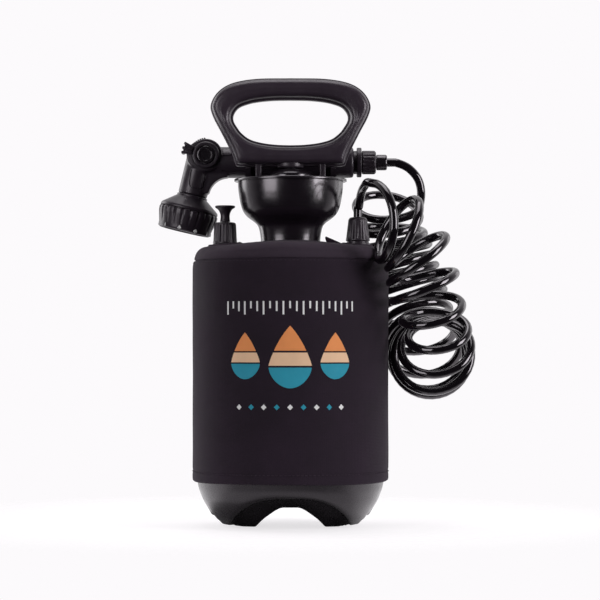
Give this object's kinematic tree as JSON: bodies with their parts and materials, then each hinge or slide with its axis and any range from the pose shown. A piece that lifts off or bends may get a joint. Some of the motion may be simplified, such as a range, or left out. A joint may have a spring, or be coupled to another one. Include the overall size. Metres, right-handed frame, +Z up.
{
  "type": "hand-pumped pressure shower",
  "caption": "Five-litre hand-pumped shower: blow-moulded tank in a neoprene sleeve, fill funnel, D-handle pump, relief valve and a dial spray wand on a coiled recoil hose",
  "frame": {"origin": "middle of the base of the box round everything but the hose, on the floor that the tank stands on", "axes": "+X from the spray head to the hose end of the stored wand, +Y from the front of the tank to the stored wand behind the handle, +Z up the tank and along the pump"},
  "size_m": [0.2965, 0.2255, 0.4158],
  "materials": {
    "matte_black": "fine satin moulded polyethylene and polypropylene",
    "gloss_black": "polished injection moulding",
    "handle_black": "satin moulded grip",
    "wand_black": "satin moulded shell",
    "neoprene": "neoprene foam with knitted jersey face",
    "neoprene_top": "neoprene foam with knitted jersey face",
    "hose_black": "glossy coiled polyurethane tube",
    "seal_rubber": "moulded rubber seal",
    "inner_plastic": "natural translucent polypropylene and acetal",
    "steel": "stainless wire and screws"
  },
  "bodies": {
    "shower": {"tank": "matte_black", "sleeve_side": "neoprene", "sleeve_top": "neoprene_top", "fill_funnel": "gloss_black", "funnel_gasket": "seal_rubber", "wand_cradle": "matte_black", "relief_body": "matte_black", "relief_gasket": "seal_rubber", "relief_nut": "matte_black", "outlet_fitting": "matte_black", "outlet_gasket": "seal_rubber", "outlet_nut": "matte_black", "dip_tube": "inner_plastic", "dip_filter": "inner_plastic", "hose_outlet_lead": "hose_black", "hose_coil": "hose_black", "hose_wand_lead": "hose_black"},
    "pump": {"pump_cap": "gloss_black", "pump_seal": "seal_rubber", "pump_cylinder": "inner_plastic", "rod_guide": "matte_black", "check_valve": "seal_rubber"},
    "plunger": {"handle_front": "handle_black", "handle_rear": "handle_black", "handle_screw_1": "steel", "handle_screw_2": "steel", "handle_screw_3": "steel", "handle_screw_4": "steel", "piston_rod": "matte_black", "rod_pin": "matte_black", "piston": "inner_plastic", "piston_ring": "seal_rubber"},
    "wand": {"wand_shell_front": "wand_black", "wand_shell_rear": "wand_black", "wand_screw_1": "steel", "wand_screw_2": "steel", "wand_screw_3": "steel", "water_tube": "inner_plastic", "neck_tube": "inner_plastic", "spray_head": "wand_black", "wand_collar": "matte_black", "wand_gasket": "seal_rubber", "wand_nut": "matte_black", "hose_ferrule": "gloss_black"},
    "lever": {"thumb_lever": "wand_black", "lever_cap": "gloss_black", "valve_core": "inner_plastic"},
    "dial": {"spray_dial": "wand_black", "nozzle_plate": "gloss_black"},
    "relief": {"relief_knob": "matte_black", "relief_seal": "seal_rubber", "relief_spring": "steel"}
  },
  "joints": [
    {"name": "pump_lift", "type": "slide", "parent": "shower", "child": "pump", "axis": [0, 0, 1], "range_m": [0, 0.24]},
    {"name": "pump_stroke", "type": "slide", "parent": "pump", "child": "plunger", "axis": [0, 0, 1], "range_m": [0, 0.17]},
    {"name": "wand_lift", "type": "slide", "parent": "shower", "child": "wand", "axis": [0, 0, 1], "range_m": [0, 0.06], "deforming": ["hose_wand_lead"]},
    {"name": "lever_turn", "type": "hinge", "parent": "wand", "child": "lever", "pos_m": [-0.0627, 0.038, 0.3463], "axis": [0, 1, 0], "range_deg": [0, 60]},
    {"name": "dial_turn", "type": "hinge", "parent": "wand", "child": "dial", "pos_m": [-0.07607, 0.038, 0.3093], "axis": [0.2284, 0, 0.9736], "continuous": true},
    {"name": "relief_pull", "type": "slide", "parent": "shower", "child": "relief", "axis": [0, 0, 1], "range_m": [0, 0.005], "stiffness_N_per_m": 200, "springref_m": -0.004, "deforming": ["relief_spring"]}
  ]
}
